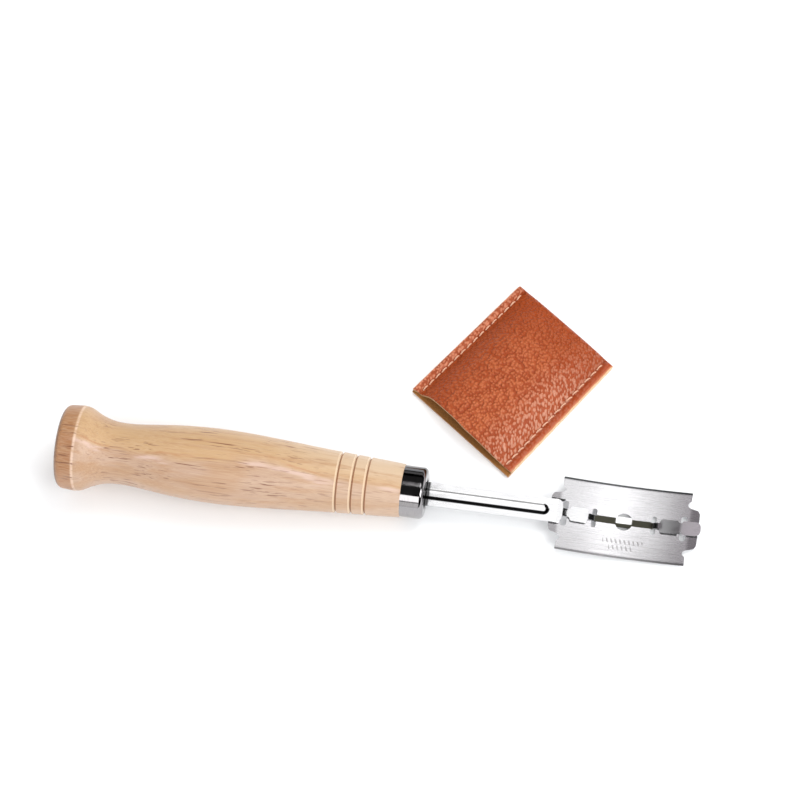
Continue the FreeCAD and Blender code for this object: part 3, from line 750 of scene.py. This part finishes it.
def outer_height(across, depth, front):
    """Height of the grain side of one wall, rounded towards its cut edges."""
    inset = cover_half(depth) - abs(across)
    drop = max(edge_drop(inset), edge_drop(depth))
    if front:
        return front_height(across, depth) - drop
    crease = UNDER_CREASE_MM * bell(inset - SEAM_INSET_MM, UNDER_CREASE_WIDTH_MM)
    if depth < FIRST_HOLE_MM - 0.4 or depth > DEPTH_MM - FIRST_HOLE_MM + 0.4:
        crease = 0.0
    return crease + drop


def inner_height(across, depth, front):
    """Height of the napped face of one wall."""
    if not front:
        return LEATHER_MM - SEAM_GAP_MM
    return LEATHER_MM + SEAM_GAP_MM + crown(across, depth)


def cover_columns():
    """Columns across the cover as (side, inset, share): a fixed inset, or a share of the panel."""
    insets = (0, 0.08, 0.2, 0.35, 0.6, 0.9, 1.25, 1.6, 1.9, 2.1, 2.25, 2.4, 2.5, 2.6, 2.75, 2.95,
              3.2, 3.5, 3.8, 4.1)
    left = [(-1, inset, None) for inset in insets]
    panel = [(0, None, -1 + 2 * i / PANEL_COLUMNS) for i in range(PANEL_COLUMNS + 1)]
    right = [(1, inset, None) for inset in reversed(insets)]
    return left + panel + right


def lip_recess(across):
    """How far the front wall's lip stands back from the back wall's."""
    share = min(max(across / MOUTH_HALF_MM, -1.0), 1.0)
    recess = LIP_RECESS_MM[-1][1]
    for (start, first), (end, second) in zip(LIP_RECESS_MM, LIP_RECESS_MM[1:]):
        if start <= share <= end:
            recess = first + (second - first) * smooth_step((share - start) / (end - start))
            break
    return recess + 0.06 * wander(12.0, across * 0.3)


def column_across(column, depth):
    """Place of a column across the cover at one depth."""
    side, inset, share = column
    if side:
        ragged = RAGGED_MM * wander(5.0 + side, depth * 0.45) * max(0.0, 1 - inset)
        return side * (cover_half(depth) - inset + ragged)
    return share * (cover_half(depth) - PANEL_INSET_MM)


def wall_depths():
    """Distances from the mouth at which the walls have a row."""
    depths = [0, 0.08, 0.2, 0.35]
    while depths[-1] + ROW_STEP_MM < FOLD_START_MM - 0.1:
        depths.append(depths[-1] + ROW_STEP_MM)
    return depths


def fold_point(column, turn, skin):
    """Point round the fold: turn runs from 0 on the back wall to pi on the front wall."""
    if skin == GRAIN:
        height_of, start, reach = outer_height, FOLD_START_MM, DEPTH_MM - FOLD_START_MM
    else:
        height_of, start, reach = inner_height, POCKET_END_MM, POCKET_END_ROUND_MM
    across = column_across(column, start)
    low, high = height_of(across, start, False), height_of(across, start, True)
    depth = start + reach * math.sin(turn) ** 0.8
    height = (low + high) / 2 - (high - low) / 2 * math.cos(turn)
    return cover_point(across, depth, height)


def wall_rows(columns, skin, front):
    """Rows of points of one wall, from its lip to the fold."""
    if skin == GRAIN:
        height_of, limit = outer_height, DEPTH_MM
    else:
        height_of, limit = inner_height, POCKET_END_MM
    rows = []
    for station in wall_depths():
        depth = min(station, limit)
        near_lip = max(0.0, 1 - depth / LIP_EASE_MM)
        row = []
        for column in columns:
            across = column_across(column, depth)
            back_off = lip_recess(across) * near_lip if front else 0.0
            row.append(cover_point(across, depth + back_off, height_of(across, depth, front)))
        rows.append(row)
    return rows


def skin_rows(columns, skin):
    """Rows of points of one face of the sheet, from the back lip round the fold to the front."""
    turns = [math.pi * i / FOLD_STEPS for i in range(FOLD_STEPS + 1)]
    fold = [[fold_point(column, turn, skin) for column in columns] for turn in turns]
    return wall_rows(columns, skin, False) + fold + wall_rows(columns, skin, True)[::-1]


def sheet_faces(tall, wide):
    """Quads of both skins and of the four cut edges, and the material of each."""
    faces, kinds = [], []

    def index(skin, row, column):
        return (skin * tall + row) * wide + column

    for row in range(tall - 1):
        for column in range(wide - 1):
            for skin in (0, 1):
                face = [index(skin, row, column), index(skin, row + 1, column),
                        index(skin, row + 1, column + 1), index(skin, row, column + 1)]
                faces.append(face if skin == 0 else face[::-1])
                kinds.append(GRAIN if skin == 0 else SUEDE)
        for column, order in ((0, 1), (wide - 1, -1)):
            face = [index(0, row, column), index(1, row, column),
                    index(1, row + 1, column), index(0, row + 1, column)]
            faces.append(face[::order])
            kinds.append(RAW_EDGE)
    for row, order in ((0, -1), (tall - 1, 1)):
        for column in range(wide - 1):
            face = [index(0, row, column), index(1, row, column),
                    index(1, row, column + 1), index(0, row, column + 1)]
            faces.append(face[::order])
            kinds.append(RAW_EDGE)
    return faces, kinds


def make_cover():
    """The folded leather as one sheet with thickness: grain side, napped side and cut edges."""
    columns = cover_columns()
    outer = skin_rows(columns, GRAIN)
    inner = skin_rows(columns, SUEDE)
    points = [point for row in outer + inner for point in row]
    faces, kinds = sheet_faces(len(outer), len(columns))
    cover = add_mesh("leather_cover", points, faces)
    for material in (leather_material(), suede_material(), raw_edge_material()):
        cover.data.materials.append(material)
    for polygon, kind in zip(cover.data.polygons, kinds):
        polygon.material_index = kind
        polygon.use_smooth = kind != RAW_EDGE
    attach(cover, COVER)
    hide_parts("cover_leather")


def add_mesh(name, points, faces):
    """Mesh object at the origin with smooth faces."""
    mesh = bpy.data.meshes.new(name)
    mesh.from_pydata([tuple(point) for point in points], [], faces)
    mesh.update()
    mesh.polygons.foreach_set("use_smooth", [True] * len(faces))
    obj = bpy.data.objects.new(name, mesh)
    bpy.context.scene.collection.objects.link(obj)
    return obj


# ---------------------------------------------------------------- stitches
PLY_RADIUS_MM = 0.16
PLY_OFFSET_MM = 0.11
PLY_SIDES = 7
STITCH_RINGS = 16
PLY_TURNS = 2.5
STITCH_SLANT_MM = 0.16
UPPER_THREAD_MM = 2.72
UPPER_HOLE_MM = 1.75
UNDER_THREAD_MM = 0.36
UNDER_HOLE_MM = 0.95
THREAD_FLATNESS = 0.8
ARCH_POWER = 0.62


def thread_points(side, stitch, upper, ply, chance):
    """Rings of one ply of one stitch, from hole to hole."""
    rings = []
    high, low = (UPPER_THREAD_MM, UPPER_HOLE_MM) if upper else (UNDER_THREAD_MM, UNDER_HOLE_MM)
    start = FIRST_HOLE_MM + STITCH_PITCH_MM * stitch
    slant = STITCH_SLANT_MM * side * (0.8 + 0.5 * chance)
    for i in range(STITCH_RINGS + 1):
        share = i / STITCH_RINGS
        depth = start + STITCH_PITCH_MM * share
        arch = max(0.0, math.sin(math.pi * share)) ** ARCH_POWER
        height = low + (high - low) * arch
        across = side * (cover_half(depth) - SEAM_INSET_MM) + slant * (share - 0.5) * 2
        swell = 0.75 + 0.25 * math.sin(math.pi * share)
        twist = 2 * math.pi * PLY_TURNS * share + math.pi * ply
        centre_across = across + PLY_OFFSET_MM * math.cos(twist)
        centre_height = height + PLY_OFFSET_MM * math.sin(twist) * THREAD_FLATNESS
        ring = []
        for corner in range(PLY_SIDES):
            angle = 2 * math.pi * corner / PLY_SIDES
            radius = PLY_RADIUS_MM * swell
            ring.append(cover_point(centre_across + radius * math.cos(angle), depth,
                                    centre_height + radius * math.sin(angle) * THREAD_FLATNESS))
        rings.append(ring)
    return rings


def make_seam(name, side, upper, node, material):
    """All the stitches of one thread of one seam."""
    points, faces = [], []
    chance = random.Random(len(name) + 7 * side)
    for stitch in range(STITCH_COUNT):
        lean = chance.uniform(-1, 1)
        for ply in (0, 1):
            base = len(points)
            rings = thread_points(side, stitch, upper, ply, lean)
            for ring in rings:
                points += ring
            for i in range(len(rings) - 1):
                for corner in range(PLY_SIDES):
                    following = (corner + 1) % PLY_SIDES
                    row, above = base + i * PLY_SIDES, base + (i + 1) * PLY_SIDES
                    faces.append([row + corner, row + following, above + following, above + corner])
    thread = add_mesh(name, points, faces)
    thread.data.materials.append(material)
    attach(thread, COVER)
    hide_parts(node)


def make_stitching():
    """Needle and bobbin threads of both side seams."""
    material = thread_material()
    for side, word in ((-1, "left"), (1, "right")):
        for upper, layer in ((True, "upper"), (False, "under")):
            node = f"seam_{word}_{layer}_thread"
            make_seam(f"{word}_{layer}_stitches", side, upper, node, material)


# ---------------------------------------------------------------- camera, floor, light
CAMERA_AZIMUTH = math.radians(28.29)
CAMERA_ELEVATION = math.radians(68.78)
CAMERA_ROLL = math.radians(20.48)
CAMERA_DISTANCE = 0.9358
CAMERA_TARGET = Vector((0.94, 1.87, 0.0)) * MM
CAMERA_LENS_MM = 142.6
CAMERA_SENSOR_MM = 36.0


def make_camera():
    """Long-lens camera above the lame, rolled as the picture is."""
    data = bpy.data.cameras.new("view")
    data.lens = CAMERA_LENS_MM
    data.sensor_width = CAMERA_SENSOR_MM
    data.clip_start = 0.01
    data.clip_end = 10.0
    camera = bpy.data.objects.new("view", data)
    bpy.context.scene.collection.objects.link(camera)
    level = math.cos(CAMERA_ELEVATION)
    back = Vector((math.sin(CAMERA_AZIMUTH) * level, -math.cos(CAMERA_AZIMUTH) * level,
                   math.sin(CAMERA_ELEVATION)))
    right = Vector((math.cos(CAMERA_AZIMUTH), math.sin(CAMERA_AZIMUTH), 0))
    up = back.cross(right)
    rolled_right = right * math.cos(CAMERA_ROLL) - up * math.sin(CAMERA_ROLL)
    rolled_up = right * math.sin(CAMERA_ROLL) + up * math.cos(CAMERA_ROLL)
    matrix = Matrix((rolled_right, rolled_up, back)).transposed().to_4x4()
    matrix.translation = CAMERA_TARGET + back * CAMERA_DISTANCE
    camera.matrix_world = matrix
    bpy.context.scene.camera = camera


FLOOR_HALF = 2.0
FLOOR_WHITE = (0.943, 0.956, 0.968, 1)


def make_floor():
    """Plain pale floor."""
    mesh = bpy.data.meshes.new("floor")
    half = FLOOR_HALF
    corners = [(-half, -half, 0), (half, -half, 0), (half, half, 0), (-half, half, 0)]
    mesh.from_pydata(corners, [], [(0, 1, 2, 3)])
    floor = bpy.data.objects.new("floor", mesh)
    bpy.context.scene.collection.objects.link(floor)
    material, _, shader = new_material("floor_white")
    shader.inputs["Base Color"].default_value = FLOOR_WHITE
    shader.inputs["Roughness"].default_value = 0.9
    shader.inputs["Specular IOR Level"].default_value = 0.1
    set_material(floor, material)


def make_softbox(name, location, target, size, power):
    """Rectangular area light aimed at a point."""
    data = bpy.data.lights.new(name, "AREA")
    data.shape = "RECTANGLE"
    data.size, data.size_y = size
    data.energy = power
    light = bpy.data.objects.new(name, data)
    bpy.context.scene.collection.objects.link(light)
    light.location = location
    aim = Vector(target) - Vector(location)
    light.rotation_euler = aim.to_track_quat("-Z", "Y").to_euler()
    return light


def make_card(name, location, target, size, radiance, tint=(1, 1, 1)):
    """Lamp panel of even brightness, seen in the metal but not by the camera."""
    power = radiance * math.pi * size[0] * size[1]
    light = make_softbox(name, location, target, size, power)
    light.visible_camera = False
    light.data.color = tint


# name, location, target, size, radiance and, where it isn't white, tint
CARDS = (
    ("neck_panel", (0.035, 0.20, 0.75), (0.035, 0.20, 0.0), (0.105, 0.24), 1.35),
    ("middle_panel", (0.13, 0.20, 0.75), (0.13, 0.20, 0.0), (0.08, 0.26), 2.6),
    ("high_panel", (0.31, 0.20, 0.75), (0.31, 0.20, 0.0), (0.28, 0.26), 1.3),
    ("low_panel", (-0.02, -0.66, 0.56), (0.0, -0.03, 0.0), (0.40, 0.40), 3.2),
    ("horizon_panel", (-0.02, -0.84, 0.18), (0.0, -0.03, 0.0), (0.40, 0.34), 1.25),
    ("side_panel", (0.56, -0.22, 0.56), (0.03, 0.01, 0.0), (0.42, 0.42), 5.0),
    ("far_panel", (-0.24, 0.20, 0.75), (-0.24, 0.20, 0.0), (0.40, 0.20), 0.54, (1.0, 0.90, 0.97)),
    ("back_panel", (0.0, 0.95, 0.22), (0.0, 0.0, 0.0), (1.8, 0.26), 0.22),
    ("tip_panel", (0.95, 0.0, 0.22), (0.0, 0.0, 0.0), (1.2, 0.26), 0.45),
    ("butt_panel", (-0.95, 0.0, 0.30), (0.0, 0.0, 0.0), (1.2, 0.40), 0.45),
    ("ceiling", (0.0, 0.45, 1.0), (0.0, 0.45, 0.0), (2.4, 2.0), 0.03),
)
WORLD_STRENGTH = 0.66
KEY_WATTS = 3.5


def make_lights():
    """Pale world and a high soft key, with dim panels for the metal to mirror."""
    world = bpy.data.worlds.new("studio")
    world.use_nodes = True
    background = world.node_tree.nodes["Background"]
    background.inputs["Color"].default_value = (1, 1, 1, 1)
    background.inputs["Strength"].default_value = WORLD_STRENGTH
    bpy.context.scene.world = world
    world.cycles_visibility.glossy = False
    key = make_softbox("key", (0.34, 0.48, 0.74), (0, 0, 0), (0.45, 0.45), KEY_WATTS)
    key.visible_camera = False
    key.visible_glossy = False
    for card in CARDS:
        make_card(*card)


def dress_metal_and_wood():
    """Give the carried-over nodes their materials."""
    nodes = frame["nodes"]
    set_material(nodes["handle"], wood_material())
    set_material(nodes["ferrule"], chrome_material())
    set_material(nodes["holder"], strip_material())
    set_material(nodes["blade"], blade_material())
    set_material(nodes["tang_adhesive"], adhesive_material())


make_camera()
make_floor()
make_lights()
dress_metal_and_wood()
make_cover()
make_stitching()
bpy.context.scene.view_settings.view_transform = "Standard"
